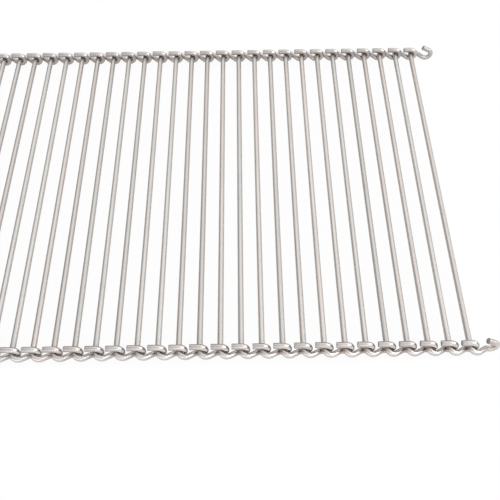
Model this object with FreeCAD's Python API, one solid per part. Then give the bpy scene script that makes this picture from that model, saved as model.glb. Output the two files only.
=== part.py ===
import FreeCAD, Part
import math
import os
from FreeCAD import Vector

# Wire ladder conveyor belt: identical formed wire strands, each hooked round the next one's rod.
# X runs along the belt, Y across it, Z up. The origin is on the floor under the belt's middle.

# Driving dimensions, in millimetres and degrees
strand_count = 32
pitch = 9.525               # from one cross rod to the next, 3/8 inch
belt_width = 208.0          # over the outer bends of both edges
wire_diameter = 2.75        # near 12 gauge
hook_clearance = 0.15       # between a rod and the hook round it
scallop_clearance = 0.2     # between a hook and the outer bend that passes it
cut_end_clearance = 0.3     # between a hook's cut end and the hook before it
rod_bend_radius = 2.8       # where the cross rod turns into the outer bend
crank_bend_radius = 2.6     # the two bends that bring the wire back into the hook's plane
crank_angle = 33.0          # how steeply the wire comes back in
shortest_straight = 0.05    # left between two bends where they nearly meet
open_hook_angle = 28.0      # how far the last strand's free hooks are left open

# Heights and planes that follow from them
wire_radius = wire_diameter / 2
hook_radius = wire_diameter + hook_clearance
rod_height = hook_radius + wire_radius
scallop_y = belt_width / 2 - wire_radius
hook_y = scallop_y - wire_diameter - scallop_clearance

# The end slopes down from its own rod, along the tangent to the hook's circle round the next rod.
slope_angle = math.asin(hook_radius / pitch)
slope_length = pitch * math.cos(slope_angle)

# Corners of the outer bend, as runs down the slope: the last crank bend ends where the hook starts.
crank_turn = math.radians(crank_angle)
crank_reach = crank_bend_radius * math.tan(crank_turn / 2)
inner_corner = slope_length - crank_reach
outer_corner = inner_corner - (scallop_y - hook_y) / math.tan(crank_turn)
rod_bend = min(rod_bend_radius, outer_corner - crank_reach - shortest_straight)

# The hook's top leg is cut where it would meet the hook before it.
cut_end_run = math.sqrt((hook_radius + wire_diameter + cut_end_clearance) ** 2 - hook_radius ** 2)
top_leg_length = pitch - cut_end_run

# The first strand has no neighbour to hold its rod, so its whole slope lies on the floor.
left_end = pitch * (1 - math.cos(slope_angle)) - wire_radius
right_end = strand_count * pitch + hook_radius + wire_radius
first_rod_x = -(left_end + right_end) / 2


# A point of the sloping plane, by its run down the slope from the cross rod
def on_slope(run, y):
    return Vector(run * math.cos(slope_angle), y, -run * math.sin(slope_angle))


# A point of the hook's circle round the next rod, by its angle from the belt's direction
def on_hook(angle):
    return Vector(pitch + hook_radius * math.cos(angle), hook_y, hook_radius * math.sin(angle))


# Straight runs from start round the corners, each with a tangent arc, up to the last arc's end
def rounded_run(start, corners, end):
    edges = []
    here = start
    targets = [corner for corner, radius in corners[1:]] + [end]
    for (corner, radius), target in zip(corners, targets):
        arriving = (corner - here).normalize()
        leaving = (target - corner).normalize()
        half_turn = arriving.getAngle(leaving) / 2
        reach = radius * math.tan(half_turn)
        inset = radius / math.cos(half_turn) - radius
        bend_start = corner - arriving * reach
        bend_middle = corner + (leaving - arriving).normalize() * inset
        bend_end = corner + leaving * reach
        edges.append(Part.LineSegment(here, bend_start).toShape())
        edges.append(Part.Arc(bend_start, bend_middle, bend_end).toShape())
        here = bend_end
    return edges


# Centreline of one end, from the middle of the rod to the hook's cut end
def end_centreline(open_angle):
    corners = [
        (on_slope(0, scallop_y), rod_bend),
        (on_slope(outer_corner, scallop_y), crank_bend_radius),
        (on_slope(inner_corner, hook_y), crank_bend_radius),
    ]
    edges = rounded_run(Vector(0, 0, 0), corners, on_slope(slope_length, hook_y))
    hook_start = -math.pi / 2 - slope_angle
    hook_top = math.pi / 2 - open_angle
    hook_middle = (hook_start + hook_top) / 2
    hook = Part.Arc(on_hook(hook_start), on_hook(hook_middle), on_hook(hook_top))
    leg_direction = Vector(-math.sin(hook_top), 0, math.cos(hook_top))
    cut_end = on_hook(hook_top) + leg_direction * top_leg_length
    top_leg = Part.LineSegment(on_hook(hook_top), cut_end)
    return edges + [hook.toShape(), top_leg.toShape()]


# One strand with its rod on the Y axis: a round wire carried along the rod and both mirrored ends
def strand_solid(open_angle):
    far_end = end_centreline(open_angle)
    near_end = [edge.mirror(Vector(0, 0, 0), Vector(0, 1, 0)) for edge in reversed(far_end)]
    half_rod = far_end[0].Length
    rod = Part.LineSegment(Vector(0, -half_rod, 0), Vector(0, half_rod, 0)).toShape()
    centreline = Part.Wire(near_end[:-1] + [rod] + far_end[1:])
    first_leg = near_end[0]
    cut_end = first_leg.valueAt(first_leg.LastParameter)
    section = Part.Wire(Part.makeCircle(wire_radius, cut_end, first_leg.tangentAt(first_leg.LastParameter)))
    return centreline.makePipeShell([section], True, False)


os.makedirs("parts", exist_ok=True)
linked_strand = strand_solid(0)
free_strand = strand_solid(math.radians(open_hook_angle))
for number in range(1, strand_count + 1):
    placed = (free_strand if number == strand_count else linked_strand).copy()
    if number == 1:
        placed.rotate(Vector(pitch, 0, 0), Vector(0, 1, 0), -math.degrees(slope_angle))
    placed.translate(Vector(first_rod_x + (number - 1) * pitch, 0, rod_height))
    placed.exportStep(f"parts/strand_{number:02d}.step")
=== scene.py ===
import logging
import math
from dataclasses import dataclass, field
from enum import Enum
from typing import Any, Mapping

import bpy
import numpy as np
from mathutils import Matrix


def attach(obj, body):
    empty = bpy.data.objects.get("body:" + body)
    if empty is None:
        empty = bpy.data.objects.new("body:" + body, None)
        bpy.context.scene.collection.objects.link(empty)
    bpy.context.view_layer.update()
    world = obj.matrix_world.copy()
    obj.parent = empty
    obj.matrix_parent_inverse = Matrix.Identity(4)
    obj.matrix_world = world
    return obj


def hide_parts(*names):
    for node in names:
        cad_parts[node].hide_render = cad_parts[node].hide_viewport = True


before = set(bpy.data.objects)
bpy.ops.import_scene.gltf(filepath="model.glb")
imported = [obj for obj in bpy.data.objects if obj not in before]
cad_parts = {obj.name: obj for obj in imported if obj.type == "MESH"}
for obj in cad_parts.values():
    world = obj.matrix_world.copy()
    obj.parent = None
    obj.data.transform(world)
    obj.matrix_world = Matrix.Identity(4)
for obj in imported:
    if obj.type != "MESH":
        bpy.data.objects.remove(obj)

log = logging.getLogger("wire_belt")

Array = np.ndarray
Colour = tuple[float, float, float, float]
Triple = tuple[float, float, float]

# The rounded edge of a sheared end, from the cut inwards: shares of its depth and of the radius
EDGE_DEPTHS = np.array([0.0, 0.35, 0.75, 1.0])
EDGE_RADII = np.array([0.90, 0.955, 0.988, 1.0])

# Where the draws of the legs' small differences start
LEG_SEED = 500

# Noise lies evenly about this value
NOISE_MEAN = 0.5


class Place(Enum):
    """Where a strand stands in the length of belt."""

    FALLEN = "the first strand, whose rod no hook holds up"
    LINKED = "any strand between the two ends"
    FREE = "the last strand, whose hooks are left open"


@dataclass(frozen=True)
class StrandSizes:
    """Sizes of the formed wire strands, in metres and radians.

    Args:
        pitch: from one cross rod to the next.
        belt_width: over the outer bends of both edges.
        wire: the wire's diameter.
        hook_clearance: between a rod and the hook round it.
        scallop_clearance: between a hook and the outer bend that passes it.
        cut_end_clearance: between a hook's cut end and the hook before it.
        rod_bend: radius where the cross rod turns into the outer bend.
        crank_bend: radius of the two bends that bring the wire back in.
        crank_turn: how steeply the wire comes back in.
        open_hook: how far the last strand's free hooks are left open.
        leg_askew: how far a leg may lean out of its hook's plane.
        leg_uneven: how much longer or shorter than the others a leg may be.
        sheared_edge: how far in from a cut its edge is rounded.
        count: how many strands there are.
    """

    pitch: float = 0.009525
    belt_width: float = 0.208
    wire: float = 0.00275
    hook_clearance: float = 0.00015
    scallop_clearance: float = 0.0002
    cut_end_clearance: float = 0.0003
    rod_bend: float = 0.0028
    crank_bend: float = 0.0026
    crank_turn: float = math.radians(33)
    open_hook: float = math.radians(28)
    leg_askew: float = math.radians(1.3)
    leg_uneven: float = 0.00012
    sheared_edge: float = 0.00012
    count: int = 32

    @property
    def wire_radius(self) -> float:
        """Half the wire's diameter."""
        return self.wire / 2

    @property
    def hook_radius(self) -> float:
        """Radius of the hook's centreline round the next rod."""
        return self.wire + self.hook_clearance

    @property
    def rod_height(self) -> float:
        """Height of the rods' axes over the floor."""
        return self.hook_radius + self.wire_radius

    @property
    def scallop_y(self) -> float:
        """How far out the outer bends' centreline lies."""
        return self.belt_width / 2 - self.wire_radius

    @property
    def hook_y(self) -> float:
        """How far out the hooks' planes lie."""
        return self.scallop_y - self.wire - self.scallop_clearance

    @property
    def slope(self) -> float:
        """Angle at which an end runs down from its own rod."""
        return math.asin(self.hook_radius / self.pitch)

    @property
    def slope_length(self) -> float:
        """Run from the rod's axis to the start of the hook."""
        return self.pitch * math.cos(self.slope)

    @property
    def leg_length(self) -> float:
        """Length of the hook's straight top leg."""
        reach = self.hook_radius + self.wire + self.cut_end_clearance
        return self.pitch - math.sqrt(reach ** 2 - self.hook_radius ** 2)

    @property
    def first_rod_x(self) -> float:
        """Where the first rod would stand if it lay as the others do."""
        left = self.pitch * (1 - math.cos(self.slope)) - self.wire_radius
        right = self.count * self.pitch + self.hook_radius + self.wire_radius
        return -(left + right) / 2


@dataclass(frozen=True)
class Fineness:
    """How finely a strand's centreline and its round wire are divided.

    Args:
        sides: how many flats the round wire has.
        half_rod: shares of each half of the straight rod.
        approach: shares of the short straight run up to a bend.
        rod_bend: shares of the bend at the rod's end.
        crank_bend: shares of each of the two bends that bring the wire back in.
        hook: shares of the hook's circle.
        leg: shares of the straight leg.
    """

    sides: int = 28
    half_rod: int = 24
    approach: int = 2
    rod_bend: int = 14
    crank_bend: int = 7
    hook: int = 30
    leg: int = 5


@dataclass(frozen=True)
class RubAndShade:
    """Where a rod and the hook round it rub on each other, and where painted shade darkens the crevice
    between them.

    Args:
        rod_band: reach of the bell curve on a rod, as a share of the wire.
        hook_band: how far off its plane a hook's wire may lie, as a share of that reach.
        hook_ring: how far from the next rod's axis it may lie, as a share of the hook's radius.
        gain: how quickly the rubbing turns full on a hook's inside.
        unheld: how much of it shows on a hook that holds no rod.
    """

    rod_band: float = 0.85
    hook_band: float = 0.5
    hook_ring: float = 1.5
    gain: float = 1.6
    unheld: float = 0.3


@dataclass
class Path:
    """A centreline in the making: points, and how tightly the wire is bent at each.

    Args:
        fineness: how finely it is divided.
        points: the centreline's points so far, one array each stretch.
        bends: one array each stretch, the wire's curvature in 1/m.
    """

    fineness: Fineness
    points: list[Array] = field(default_factory=list)
    bends: list[Array] = field(default_factory=list)

    def run(self, start: Array, end: Array, steps: int) -> None:
        """Adds a straight run: start plus equal shares of the way to end, the end left out.

        Args:
            start: where it begins.
            end: where it ends.
            steps: how many equal shares it has.
        """
        share = np.arange(steps)[:, None] / steps
        self.points.append(start + (end - start) * share)
        self.bends.append(np.zeros(steps))

    def arc(self, centre: Array, to_start: Array, onward: Array, turn: float, steps: int) -> None:
        """Adds an arc: centre plus cosine shares of to_start and sine shares of onward.

        Args:
            centre: the arc's centre.
            to_start: from the centre to the arc's start.
            onward: the way it sets off, as long as to_start.
            turn: how far it turns, in radians.
            steps: how many equal shares it has; its last point is left out.
        """
        angle = (turn * np.arange(steps) / steps)[:, None]
        self.points.append(centre + np.cos(angle) * to_start + np.sin(angle) * onward)
        self.bends.append(np.full(steps, 1 / float(np.linalg.norm(to_start))))

    def corner(self, here: Array, corner: Array, target: Array, radius: float, steps: int) -> Array:
        """Adds the run up to a rounded corner and the arc round it.

        Args:
            here: where the run begins.
            corner: where the two straight lines would meet.
            target: a point further along the second line.
            radius: the bend's radius.
            steps: shares of the arc.

        Returns:
            Where the arc ends.
        """
        arriving = (corner - here) / np.linalg.norm(corner - here)
        leaving = (target - corner) / np.linalg.norm(target - corner)
        half = math.acos(float(np.clip(arriving @ leaving, -1, 1))) / 2
        reach = radius * math.tan(half)
        first = corner - arriving * reach
        inward = (leaving - arriving) / np.linalg.norm(leaving - arriving)
        centre = corner + inward * radius / math.cos(half)
        self.run(here, first, self.fineness.approach)
        self.arc(centre, first - centre, arriving * radius, 2 * half, steps)
        return corner + leaving * reach

    def joined(self) -> tuple[Array, Array]:
        """The points and the curvatures as two whole arrays."""
        return np.vstack(self.points), np.concatenate(self.bends)


@dataclass
class Rings:
    """The round wire as a row of rings along its centreline.

    Args:
        points: each ring's centre.
        along: arc length up to it.
        side: first direction across the wire.
        other: second direction across the wire.
        bends: the wire's curvature there.
        radius: the ring's radius.
    """

    points: Array
    along: Array
    side: Array
    other: Array
    bends: Array
    radius: Array

    @classmethod
    def round_wire(cls, points: Array, bends: Array, radius: float) -> "Rings":
        """Rings of one radius, square to the centreline at each of its points.

        The second direction across the wire is the cross product of the wire's own direction
        and the first.

        Args:
            points: the centreline's points.
            bends: the wire's curvature at each.
            radius: the wire's radius.

        Returns:
            The rings.
        """
        steps = np.linalg.norm(np.diff(points, axis=0), axis=1)
        along = np.concatenate([[0], np.cumsum(steps)])
        tangent = np.gradient(points, axis=0)
        tangent[0], tangent[-1] = points[1] - points[0], points[-1] - points[-2]
        tangent /= np.linalg.norm(tangent, axis=1)[:, None]
        side = carried(tangent)
        return cls(points, along, side, np.cross(tangent, side), bends, np.full(len(points), radius))

    def sheared(self, insets: Array, shares: Array) -> "Rings":
        """The same wire with a few rings for each end one, which round off the sheared edge.

        Args:
            insets: how far in from the cut each new ring lies.
            shares: its radius as a share of the wire's.

        Returns:
            The new rings.
        """
        def renewed(values: Array, first: Array, last: Array) -> Array:
            """The values with new ones for the first and the last, both from the cut inwards."""
            return np.concatenate([first, values[1:-1], last[::-1]])

        def repeated(values: Array) -> Array:
            """The values with the first and the last as often as there are new rings."""
            count = len(insets)
            return renewed(values, np.repeat(values[:1], count, 0), np.repeat(values[-1:], count, 0))

        first, last = self.points[0], self.points[-1]
        into_first = (self.points[1] - first) / np.linalg.norm(self.points[1] - first)
        into_last = (self.points[-2] - last) / np.linalg.norm(self.points[-2] - last)
        return Rings(
            renewed(self.points, first + insets[:, None] * into_first, last + insets[:, None] * into_last),
            renewed(self.along, self.along[0] + insets, self.along[-1] - insets),
            repeated(self.side), repeated(self.other), repeated(self.bends),
            renewed(self.radius, self.radius[0] * shares, self.radius[-1] * shares))

    def spokes(self, angle: Array) -> Array:
        """Directions from each centre: cosine shares of side plus sine shares of other.

        Args:
            angle: the angles round the wire.

        Returns:
            One unit vector an angle, one row a ring.
        """
        return (np.cos(angle)[None, :, None] * self.side[:, None]
                + np.sin(angle)[None, :, None] * self.other[:, None])


@dataclass
class WireStrand:
    """One strand of the belt: a straight cross rod with a cranked, hooked end at each side.

    Args:
        number: its place along the belt, counted from 1.
        sizes: the strands' sizes.
        fineness: how finely it is divided.
        rub_and_shade: where it rubs on its neighbours, and where painted shade darkens the crevice between
            rod and hook.
    """

    number: int
    sizes: StrandSizes
    fineness: Fineness = Fineness()
    rub_and_shade: RubAndShade = RubAndShade()

    @property
    def name(self) -> str:
        """The name of its node and body."""
        return f"strand_{self.number:02d}"

    @property
    def place(self) -> Place:
        """Which of the three kinds of strand it is."""
        if self.number == 1:
            return Place.FALLEN
        return Place.FREE if self.number == self.sizes.count else Place.LINKED

    def on_slope(self, run: float, y: float) -> Array:
        """A point of the sloping plane, run down it from the rod's axis and y across."""
        slope = self.sizes.slope
        return np.array([run * math.cos(slope), y, -run * math.sin(slope)])

    def end(self, uneven: Array) -> tuple[Array, Array]:
        """Centreline of the half at positive y, from the rod's middle to the cut end.

        The rod runs straight out, turns down the slope, runs outside the neighbour's hook,
        cranks back in to the hooks' plane, goes round the next rod in a circle and ends in a
        straight leg over it.

        Args:
            uneven: two numbers from -1 to 1, how far the leg is askew and how much it is long.

        Returns:
            The points, and the curvature at each.
        """
        s, fine = self.sizes, self.fineness
        path = Path(fine)
        inner = s.slope_length - s.crank_bend * math.tan(s.crank_turn / 2)
        outer = inner - (s.scallop_y - s.hook_y) / math.tan(s.crank_turn)
        rod_corner, outer_corner = self.on_slope(0, s.scallop_y), self.on_slope(outer, s.scallop_y)
        inner_corner, bottom = self.on_slope(inner, s.hook_y), self.on_slope(s.slope_length, s.hook_y)
        rod_end = np.array([0, s.hook_y - s.wire, 0])
        path.run(np.zeros(3), rod_end, fine.half_rod)
        here = path.corner(rod_end, rod_corner, outer_corner, s.rod_bend, fine.rod_bend)
        here = path.corner(here, outer_corner, inner_corner, s.crank_bend, fine.crank_bend)
        path.corner(here, inner_corner, bottom, s.crank_bend, fine.crank_bend)

        opened = s.open_hook if self.place is Place.FREE else 0.0
        start, top = -math.pi / 2 - s.slope, math.pi / 2 - opened
        next_rod = np.array([s.pitch, s.hook_y, 0])
        outward = np.array([math.cos(start), 0, math.sin(start)]) * s.hook_radius
        onward = np.array([-math.sin(start), 0, math.cos(start)]) * s.hook_radius
        path.arc(next_rod, outward, onward, top - start, fine.hook)

        leg_start = next_rod + s.hook_radius * np.array([math.cos(top), 0, math.sin(top)])
        askew, longer = uneven * [s.leg_askew, s.leg_uneven]
        leg_way = np.array([-math.sin(top), math.tan(askew), math.cos(top)])
        leg_end = leg_start + (s.leg_length + longer) * leg_way
        path.run(leg_start, leg_end, fine.leg)
        path.points.append(leg_end[None])
        path.bends.append(np.zeros(1))
        return path.joined()

    def centreline(self) -> tuple[Array, Array]:
        """The whole centreline: one half mirrored across the belt, then the other."""
        uneven = np.random.default_rng(LEG_SEED + self.number).uniform(-1, 1, (2, 2))
        near, near_bends = self.end(uneven[0])
        far, far_bends = self.end(uneven[1])
        mirrored = near[:0:-1] * [1, -1, 1]
        return np.vstack([mirrored, far]), np.concatenate([near_bends[:0:-1], far_bends])

    def placed(self, points: Array) -> Array:
        """Moves points to this strand's place in the belt.

        The first strand is turned about the second rod first, until its own rod lies on the floor.

        Args:
            points: points about a rod on the y axis.

        Returns:
            The same points where the belt has them.
        """
        s = self.sizes
        out = points.copy()
        if self.place is Place.FALLEN:
            along, up = out[:, 0] - s.pitch, out[:, 2].copy()
            cos, sin = math.cos(s.slope), math.sin(s.slope)
            out[:, 0] = s.pitch + along * cos - up * sin
            out[:, 2] = along * sin + up * cos
        return out + [s.first_rod_x + (self.number - 1) * s.pitch, 0, s.rod_height]

    def rubbed_and_shaded(self, points: Array, spoke: Array) -> Array:
        """How much each point of the surface rubs on the neighbour, from 0 to 1, which also marks where
        painted shade darkens the crevice.

        The rod rubs where the hook's plane crosses it: a bell curve over the distance from that
        plane. The hook rubs on its inside: the share of the spoke that points at the next rod.

        Args:
            points: the centreline's points.
            spoke: the directions from the centreline to the surface, one row a ring.

        Returns:
            One number a surface point, one row a ring.
        """
        s, rub_and_shade = self.sizes, self.rub_and_shade
        off_plane = (np.abs(points[:, 1]) - s.hook_y) / (rub_and_shade.rod_band * s.wire)
        on_rod = np.exp(-off_plane ** 2) * (np.abs(points[:, 0]) < s.wire)
        inward = (points - [s.pitch, 0, 0]) * [-1, 0, -1]
        distance = np.linalg.norm(inward, axis=1)
        in_hook = (np.abs(off_plane) < rub_and_shade.hook_band) * (distance < rub_and_shade.hook_ring * s.hook_radius)
        facing = np.einsum("rsk,rk->rs", spoke, inward / distance[:, None])
        held = rub_and_shade.unheld if self.place is Place.FREE else 1.0
        on_hook = in_hook[:, None] * np.clip(facing * rub_and_shade.gain, 0, 1) * held
        return np.maximum(on_rod[:, None], on_hook)

    def marks(self, rings: Rings, angle: Array, shift: float) -> dict[str, Array]:
        """What the finish reads from the surface: a number or a vector for each of its points.

        straight is the place on the wire if it lay straight: the arc length, then the radius
        times the cosine and the sine of the angle. bent is the curvature times the rod bend's
        radius, averaged over a wire's thickness. near_cut falls from 1 at a cut to 0 where the
        leg begins. inner is how squarely the surface faces the belt's middle. tint and shade are
        drawn once for the whole strand.

        Args:
            rings: the wire's rings.
            angle: the angles round the wire.
            shift: how far this strand's pattern is moved along the wire.

        Returns:
            The values by their labels.
        """
        s, along = self.sizes, rings.along
        straight = np.stack(np.broadcast_arrays(
            along[:, None] + shift,
            rings.radius[:, None] * np.cos(angle),
            rings.radius[:, None] * np.sin(angle)), axis=-1)
        spoke = rings.spokes(angle)
        bent = spread(along, rings.bends * s.rod_bend, s.wire_radius)
        from_cut = np.minimum(along - along[0], along[-1] - along)
        near_cut = np.clip(1 - from_cut / s.leg_length, 0, 1)
        inner = np.clip(-np.sign(rings.points[:, None, 1]) * spoke[:, :, 1], 0, 1)
        tint, shade = np.random.default_rng(self.number).random(2)
        return {
            "straight": straight.reshape(-1, 3),
            "bent": np.repeat(bent, len(angle)),
            "near_cut": np.repeat(near_cut, len(angle)),
            "rubbed_and_shaded": self.rubbed_and_shaded(rings.points, spoke).ravel(),
            "inner": inner.ravel(),
            "tint": np.full(inner.size, tint),
            "shade": np.full(inner.size, shade),
        }

    def build(self, finish: "DrawnWire") -> bpy.types.Object:
        """Makes the strand's mesh: a round profile carried along the centreline.

        Each point of the surface is its ring's centre plus the ring's radius times its spoke.

        Args:
            finish: the finish to dress it in.

        Returns:
            The finished object, riding on its body.
        """
        s, sides = self.sizes, self.fineness.sides
        rings = Rings.round_wire(*self.centreline(), s.wire_radius)
        rings = rings.sheared(EDGE_DEPTHS * s.sheared_edge, EDGE_RADII)
        angle = 2 * math.pi * np.arange(sides) / sides
        shell = rings.points[:, None] + rings.radius[:, None, None] * rings.spokes(angle)
        grid = self.placed(shell.reshape(-1, 3)).astype(np.float32)
        piece = tube_object(f"{self.name}_wire", grid, len(rings.points), sides)
        for label, values in self.marks(rings, angle, self.number * finish.pattern_shift).items():
            add_attribute(piece, label, values)
        piece.data.materials.append(finish.material())
        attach(piece, self.name)
        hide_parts(self.name)
        log.info("%s: %d points, %s", piece.name, len(grid), self.place.value)
        return piece


def carried(tangent: Array) -> Array:
    """A direction across the wire at every point, carried along it without twist.

    It starts square to the wire and to the y axis, and at each point what it has along the wire
    is taken off again.

    Args:
        tangent: the wire's unit direction at each point.

    Returns:
        One unit vector a point, square to the tangent.
    """
    side = np.empty_like(tangent)
    now = np.cross(tangent[0], [0.0, 1.0, 0.0])
    for index, way in enumerate(tangent):
        now = now - way * (now @ way)
        now = now / np.linalg.norm(now)
        side[index] = now
    return side


def spread(along: Array, values: Array, reach: float) -> Array:
    """The mean of the values within reach of each point, measured along the wire.

    It is the difference of the running sum at both ends of that stretch, over its length.

    Args:
        along: arc length at each point.
        values: the number at each.
        reach: how far the mean looks to either side.

    Returns:
        The means.
    """
    total = np.concatenate([[0], np.cumsum((values[1:] + values[:-1]) / 2 * np.diff(along))])
    after, before = np.interp(along + reach, along, total), np.interp(along - reach, along, total)
    return (after - before) / (2 * reach)


def tube_object(name: str, grid: Array, rings: int, sides: int) -> bpy.types.Object:
    """Makes a closed tube from a grid of points, with a flat cap at each end.

    The faces join point k of a ring to point k+1 and to the next ring's same two points.

    Args:
        name: the object's name.
        grid: the points, ring after ring.
        rings: how many rings there are.
        sides: how many points a ring has.

    Returns:
        The object, linked to the scene.
    """
    ring = np.arange(rings - 1)[:, None] * sides
    here = np.arange(sides)[None]
    onward = (here + 1) % sides
    corners = [ring + here, ring + onward, ring + sides + onward, ring + sides + here]
    quads = np.stack(corners, axis=-1)
    first = list(range(sides))[::-1]
    last = [(rings - 1) * sides + k for k in range(sides)]
    mesh = bpy.data.meshes.new(name)
    mesh.from_pydata(grid.tolist(), [], quads.reshape(-1, 4).tolist() + [first, last])
    smooth = np.ones(len(mesh.polygons), dtype=bool)
    smooth[-2:] = False
    mesh.polygons.foreach_set("use_smooth", smooth)
    mesh.update()
    piece = bpy.data.objects.new(name, mesh)
    bpy.context.scene.collection.objects.link(piece)
    return piece


def add_attribute(piece: bpy.types.Object, label: str, values: Array) -> None:
    """Stores one number or vector a point under a label that the finish reads.

    Args:
        piece: the mesh object.
        label: the attribute's name.
        values: one row or number a point.
    """
    vector = values.ndim == 2
    made = piece.data.attributes.new(label, "FLOAT_VECTOR" if vector else "FLOAT", "POINT")
    made.data.foreach_set("vector" if vector else "value", values.astype(np.float32).ravel())


@dataclass
class Field:
    """A socket's value over the surface, with arithmetic that adds Math nodes.

    Args:
        page: the material's nodes.
        socket: the output that carries the value.
    """

    page: "Page"
    socket: bpy.types.NodeSocket

    def _math(self, operation: str, *values: Any) -> "Field":
        """Adds one Math node of that operation over these values."""
        made = self.page.node("ShaderNodeMath", {"operation": operation}, dict(enumerate(values)))
        return Field(self.page, made.outputs[0])

    def __add__(self, other: Any) -> "Field":
        """self + other."""
        return self._math("ADD", self, other)

    def __radd__(self, other: Any) -> "Field":
        """other + self."""
        return self._math("ADD", other, self)

    def __sub__(self, other: Any) -> "Field":
        """self - other."""
        return self._math("SUBTRACT", self, other)

    def __rsub__(self, other: Any) -> "Field":
        """other - self."""
        return self._math("SUBTRACT", other, self)

    def __mul__(self, other: Any) -> "Field":
        """self * other."""
        return self._math("MULTIPLY", self, other)

    def __rmul__(self, other: Any) -> "Field":
        """other * self."""
        return self._math("MULTIPLY", other, self)

    def ramp(self, low: float, high: float) -> "Field":
        """0 up to low, 1 from high on, and smooth between the two."""
        made = self.page.node("ShaderNodeMapRange", {"interpolation_type": "SMOOTHSTEP"},
                              {"Value": self, "From Min": low, "From Max": high})
        return Field(self.page, made.outputs["Result"])


@dataclass
class Page:
    """The nodes of one material.

    Args:
        tree: the material's node tree.
    """

    tree: bpy.types.NodeTree

    def node(self, kind: str, settings: Mapping[str, Any] | None = None,
             sockets: Mapping[Any, Any] | None = None) -> bpy.types.Node:
        """Adds a node, sets it, then fills or links its sockets.

        Args:
            kind: the node's type.
            settings: its own settings, set first.
            sockets: a value or a link for each named or numbered socket.

        Returns:
            The new node.
        """
        made = self.tree.nodes.new(kind)
        for key, value in (settings or {}).items():
            setattr(made, key, value)
        for key, value in (sockets or {}).items():
            if isinstance(value, Field):
                value = value.socket
            if isinstance(value, bpy.types.NodeSocket):
                self.tree.links.new(value, made.inputs[key])
            else:
                made.inputs[key].default_value = value
        return made

    def attribute(self, label: str) -> bpy.types.Node:
        """The node that reads an attribute of the mesh."""
        return self.node("ShaderNodeAttribute", {"attribute_name": label})

    def value(self, label: str) -> Field:
        """A number stored on the mesh."""
        return Field(self, self.attribute(label).outputs["Fac"])

    def blend(self, share: Any, first: Any, second: Any) -> bpy.types.NodeSocket:
        """The first colour turning into the second as share goes from 0 to 1."""
        made = self.node("ShaderNodeMix", {"data_type": "RGBA"}, {0: share, 6: first, 7: second})
        return made.outputs[2]


@dataclass(frozen=True)
class Texture:
    """Noise over the wire as if it lay straight.

    Args:
        scale: how often a metre it changes along the wire, and twice across it.
        detail: how many finer layers it has.
        rough: how strong each finer layer is against the one before.
    """

    scale: Triple
    detail: float
    rough: float

    def over(self, page: Page, straight: bpy.types.NodeSocket) -> Field:
        """Adds the noise to a material.

        Args:
            page: the material's nodes.
            straight: the place on the wire if it lay straight.

        Returns:
            The noise, from 0 to 1.
        """
        scaled = page.node("ShaderNodeVectorMath", {"operation": "MULTIPLY"}, {0: straight, 1: self.scale})
        made = page.node("ShaderNodeTexNoise", {}, {
            "Vector": scaled.outputs["Vector"], "Scale": 1.0,
            "Detail": self.detail, "Roughness": self.rough})
        return Field(page, made.outputs["Fac"])


@dataclass(frozen=True)
class Band:
    """How strongly a mark shows as a value rises.

    Args:
        share: how strongly it shows at most.
        low: the value up to which nothing shows.
        high: the value from which it shows in full.
    """

    share: float
    low: float
    high: float

    def over(self, values: Field) -> Field:
        """The mark's strength over the surface."""
        return self.share * values.ramp(self.low, self.high)


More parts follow.
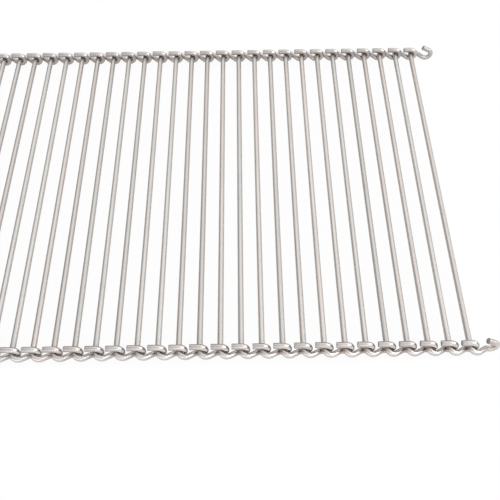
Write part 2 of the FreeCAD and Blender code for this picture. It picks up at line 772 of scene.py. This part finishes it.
@dataclass(frozen=True)
class DrawnWire:
    """Bright drawn stainless wire, formed cold and sheared to length.

    Args:
        warm: the colour of the warmer strands.
        cool: the colour of the cooler strands.
        drawn_line: the colour of the lines that drawing left along the wire.
        dull: the colour that duller strands turn to.
        bend_highlight: a painted highlight on the bends, a paler colour where the wire is bent.
        stain_and_shade: the colour where a rod has run in its hooks, and painted shade in the crevice
            between them.
        inner_side_shade: painted shade on the ends' inner sides, the ones that face the belt's middle.
        cut_end_shade: painted shade on the legs, darker towards their cut.
        cut: the colour of the sheared ends.
        hairlines: the finest of the lines that drawing left.
        lines: the coarser ones.
        patches: patches of uneven tone.
        grain: the fine grain that forming brings up.
        toning: how a strand's tint turns it from warm to cool.
        toning_patches: how much the patches add to its tint.
        streaking: how the coarser lines show.
        hairlining: how the finest lines show.
        dulling: how far the dullest strand turns dull.
        bend_highlighting: how the painted highlight grows with a bend's curvature.
        highlight_level: how much of the painted highlight shows between light and dark patches.
        highlight_patches: how much the patches change it.
        patchy_stain_and_shade: how the patches break up that darker colour.
        inner_shading: how the painted shade deepens as the surface faces inwards.
        cut_end_shading: how the painted shade grows towards the cut.
        shearing: how the sheared end shows at the cut.
        roughness: the plain wire's roughness.
        rough_patches: how much the patches change it.
        rough_hairlines: how much the finest lines change it.
        bend_gloss: how much a bend takes off it.
        rough_cut: how much a sheared end adds to it.
        hairline_relief: the finest lines' share of the relief.
        line_relief: the coarser lines' share.
        grain_relief: the grain's share on straight wire.
        bend_grain_relief: what a bend adds to it.
        relief_depth: how deep the relief is, in metres.
        relief_strength: how strongly it shows.
        pattern_shift: how far along the wire the pattern moves from strand to strand, in metres.
        label: the material's name.
    """

    warm: Colour = (0.616, 0.567, 0.537, 1)
    cool: Colour = (0.592, 0.573, 0.552, 1)
    drawn_line: Colour = (0.45, 0.43, 0.415, 1)
    dull: Colour = (0.43, 0.41, 0.395, 1)
    bend_highlight: Colour = (0.805, 0.757, 0.748, 1)
    stain_and_shade: Colour = (0.36, 0.31, 0.285, 1)
    inner_side_shade: Colour = (0.29, 0.275, 0.265, 1)
    cut_end_shade: Colour = (0.375, 0.338, 0.333, 1)
    cut: Colour = (0.42, 0.40, 0.39, 1)
    hairlines: Texture = Texture((26, 5200, 5200), 3.0, 0.6)
    lines: Texture = Texture((14, 2300, 2300), 3.0, 0.65)
    patches: Texture = Texture((60, 420, 420), 4.0, 0.6)
    grain: Texture = Texture((2600, 2600, 2600), 2.0, 0.6)
    toning: Band = Band(1.0, 0.1, 0.9)
    toning_patches: float = 0.45
    streaking: Band = Band(0.5, 0.5, 0.66)
    hairlining: Band = Band(0.2, 0.45, 0.7)
    dulling: float = 0.5
    bend_highlighting: Band = Band(0.5, 0.3, 0.95)
    highlight_level: float = 0.65
    highlight_patches: float = 0.7
    patchy_stain_and_shade: Band = Band(0.8, 0.2, 0.6)
    inner_shading: Band = Band(0.42, 0.1, 0.9)
    cut_end_shading: Band = Band(0.55, 0.0, 0.9)
    shearing: Band = Band(0.85, 0.92, 0.985)
    roughness: float = 0.44
    rough_patches: float = 0.22
    rough_hairlines: float = 0.12
    bend_gloss: float = 0.16
    rough_cut: Band = Band(0.2, 0.9, 0.98)
    hairline_relief: float = 0.4
    line_relief: float = 0.6
    grain_relief: float = 0.15
    bend_grain_relief: float = 0.35
    relief_depth: float = 0.00003
    relief_strength: float = 0.5
    pattern_shift: float = 0.73
    label: str = "drawn_stainless_wire"

    def material(self) -> bpy.types.Material:
        """Makes the material, or gives it back if it is there already.

        Returns:
            The material.
        """
        made = bpy.data.materials.get(self.label)
        if made:
            return made
        made = bpy.data.materials.new(self.label)
        made.use_nodes = True
        made.node_tree.nodes.clear()
        page = Page(made.node_tree)
        straight = page.attribute("straight").outputs["Vector"]
        bent, near_cut = page.value("bent"), page.value("near_cut")
        rubbed_and_shaded, inner = page.value("rubbed_and_shaded"), page.value("inner")
        tint, shade = page.value("tint"), page.value("shade")
        hairlines, lines = self.hairlines.over(page, straight), self.lines.over(page, straight)
        patches, grain = self.patches.over(page, straight), self.grain.over(page, straight)
        uneven = patches - NOISE_MEAN

        tone = self.toning.over(tint + self.toning_patches * uneven)
        streaks = self.streaking.over(lines) + self.hairlining.over(hairlines)
        painted_highlight = self.bend_highlighting.over(bent) * (self.highlight_level + self.highlight_patches * uneven)
        colour = page.blend(tone, self.warm, self.cool)
        colour = page.blend(streaks, colour, self.drawn_line)
        colour = page.blend(self.dulling * shade, colour, self.dull)
        # painted highlight: the bends are blended towards a paler colour, which stands in for the highlights
        # they catch
        colour = page.blend(painted_highlight, colour, self.bend_highlight)
        # rub mark and painted shade: darker where rod and hook meet, in the crevice between them
        colour = page.blend(self.patchy_stain_and_shade.over(patches) * rubbed_and_shaded, colour, self.stain_and_shade)
        # painted shade: the sides of the ends that face the belt's middle are darkened
        colour = page.blend(self.inner_shading.over(inner), colour, self.inner_side_shade)
        # painted shade: the legs turn darker towards their cut ends
        colour = page.blend(self.cut_end_shading.over(near_cut), colour, self.cut_end_shade)
        colour = page.blend(self.shearing.over(near_cut), colour, self.cut)

        roughness = (self.roughness + self.rough_patches * uneven
                     + self.rough_hairlines * (hairlines - NOISE_MEAN)
                     - self.bend_gloss * bent + self.rough_cut.over(near_cut))
        height = (self.hairline_relief * hairlines + self.line_relief * lines
                  + self.grain_relief * grain + self.bend_grain_relief * bent * grain)
        bump = page.node("ShaderNodeBump", {}, {
            "Strength": self.relief_strength, "Distance": self.relief_depth, "Height": height})
        shader = page.node("ShaderNodeBsdfPrincipled", {}, {
            "Base Color": colour, "Metallic": 1.0, "Roughness": roughness, "Normal": bump.outputs["Normal"]})
        page.node("ShaderNodeOutputMaterial", {}, {"Surface": shader.outputs[0]})
        return made


@dataclass(frozen=True)
class Softbox:
    """A soft rectangular lamp that points at the belt's middle.

    Args:
        name: the lamp's name.
        place: where it hangs, in metres.
        size: its width and height, in metres.
        watts: its power.
    """

    name: str
    place: Triple
    size: tuple[float, float]
    watts: float

    def build(self) -> None:
        """Hangs the lamp and turns it to the belt."""
        light = bpy.data.lights.new(self.name, "AREA")
        light.shape = "RECTANGLE"
        light.size, light.size_y = self.size
        light.energy = self.watts
        lamp = bpy.data.objects.new(self.name, light)
        x, y, z = self.place
        lamp.location = self.place
        lamp.rotation_euler = (math.atan2(math.hypot(x, y), z), 0, math.atan2(x, -y))
        bpy.context.scene.collection.objects.link(lamp)


@dataclass
class Studio:
    """The pale floor, the soft lights, the world and the camera.

    Args:
        floor_size: the floor's side, in metres.
        floor_colour: the floor's colour.
        white: the colour of plain white surroundings.
        plain_share: how much of the floor's look is plain white and not lit.
        mirrored_share: the same share as the metal's reflections see it.
        world_level: brightness of the surroundings.
        left_level: their brightness straight to the left.
        left_edge: how far right a direction points where they are darkest, and where that ends.
        back_level: their brightness straight behind the belt, as a share of the rest.
        back_edge: how far back a direction points where they begin to darken, and where they end.
        softboxes: the lamps.
        camera_place: where the camera stands, in metres.
        camera_turn: its turns about X, Y and Z, in degrees.
        lens: its focal length, in mm.
        picture_width: the width of its picture behind the lens, in mm.
        nearest: the nearest that it sees, in metres.
        furthest: the furthest that it sees.
    """

    floor_size: float = 12.0
    floor_colour: Colour = (0.86, 0.86, 0.86, 1)
    white: Colour = (1, 1, 1, 1)
    plain_share: float = 0.93
    mirrored_share: float = 0.35
    world_level: float = 0.95
    left_level: float = 0.26
    left_edge: tuple[float, float] = (-0.98, -0.4)
    back_level: float = 0.15
    back_edge: tuple[float, float] = (0.8, 0.96)
    softboxes: tuple[Softbox, ...] = (
        Softbox("overhead_softbox", (0.1, 0.85, 1.05), (1.6, 1.0), 3.6),
        Softbox("right_softbox", (0.95, -0.12, 0.75), (0.6, 0.6), 4.8),
        Softbox("front_softbox", (0.25, -1.13, 0.6), (1.3, 0.5), 2.2),
        Softbox("left_front_softbox", (-0.75, -0.95, 0.35), (0.9, 0.4), 1.5),
    )
    camera_place: Triple = (0.04013, -0.2552, 0.30819)
    camera_turn: Triple = (34.744, 0.349, -0.815)
    lens: float = 53.28
    picture_width: float = 36.0
    nearest: float = 0.01
    furthest: float = 50.0

    def floor(self) -> bpy.types.Object:
        """A flat square just under the belt that shows white and keeps the belt's shadow."""
        half = self.floor_size / 2
        mesh = bpy.data.meshes.new("floor")
        mesh.from_pydata([(-half, -half, 0), (half, -half, 0), (half, half, 0), (-half, half, 0)], [],
                         [(0, 1, 2, 3)])
        floor = bpy.data.objects.new("floor", mesh)
        bpy.context.scene.collection.objects.link(floor)
        made = bpy.data.materials.new("pale_floor")
        made.use_nodes = True
        made.node_tree.nodes.clear()
        page = Page(made.node_tree)
        seen = page.node("ShaderNodeLightPath")
        camera_sees, mirror_sees, glass_sees = (
            Field(page, seen.outputs[f"Is {ray} Ray"]) for ray in ("Camera", "Glossy", "Transmission"))
        plain_share = self.plain_share * camera_sees + self.mirrored_share * (mirror_sees + glass_sees)
        lit = page.node("ShaderNodeBsdfDiffuse", {}, {"Color": self.floor_colour}).outputs[0]
        plain = page.node("ShaderNodeEmission", {}, {"Color": self.white, "Strength": 1.0}).outputs[0]
        mixed = page.node("ShaderNodeMixShader", {}, {0: plain_share, 1: lit, 2: plain})
        page.node("ShaderNodeOutputMaterial", {}, {"Surface": mixed.outputs[0]})
        mesh.materials.append(made)
        return floor

    def world(self) -> None:
        """Surroundings that are white to the camera, and darker on the left and behind otherwise.

        The left, where the studio has no lamp, and the horizon behind the belt give the wires
        their dark sides.
        """
        world = bpy.data.worlds.new("studio")
        bpy.context.scene.world = world
        world.use_nodes = True
        world.node_tree.nodes.clear()
        page = Page(world.node_tree)
        way = page.node("ShaderNodeTexCoord").outputs["Generated"]
        parts = page.node("ShaderNodeSeparateXYZ", {}, {0: way})
        right, back = Field(page, parts.outputs["X"]), Field(page, parts.outputs["Y"])
        level = self.left_level + (self.world_level - self.left_level) * right.ramp(*self.left_edge)
        level = level * (1 - (1 - self.back_level) * back.ramp(*self.back_edge))
        seen = Field(page, page.node("ShaderNodeLightPath").outputs["Is Camera Ray"])
        sky = page.node("ShaderNodeBackground", {}, {
            "Color": self.white, "Strength": seen + (1 - seen) * level})
        page.node("ShaderNodeOutputWorld", {}, {"Surface": sky.outputs[0]})

    def camera(self) -> None:
        """The camera at the photograph's viewing angle."""
        lens = bpy.data.cameras.new("camera")
        lens.lens = self.lens
        lens.sensor_width = self.picture_width
        lens.clip_start, lens.clip_end = self.nearest, self.furthest
        camera = bpy.data.objects.new("camera", lens)
        camera.location = self.camera_place
        camera.rotation_euler = [math.radians(angle) for angle in self.camera_turn]
        bpy.context.scene.collection.objects.link(camera)
        bpy.context.scene.camera = camera

    def build(self) -> None:
        """Sets up everything that isn't the belt."""
        self.floor()
        self.world()
        for softbox in self.softboxes:
            softbox.build()
        self.camera()
        bpy.context.scene.view_settings.view_transform = "Standard"


def main() -> None:
    """Builds the studio and the belt, strand by strand."""
    logging.basicConfig(level=logging.INFO, format="%(name)s %(message)s")
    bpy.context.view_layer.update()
    Studio().build()
    sizes, finish = StrandSizes(), DrawnWire()
    for number in range(1, sizes.count + 1):
        WireStrand(number, sizes).build(finish)


if __name__ == "__main__":
    main()
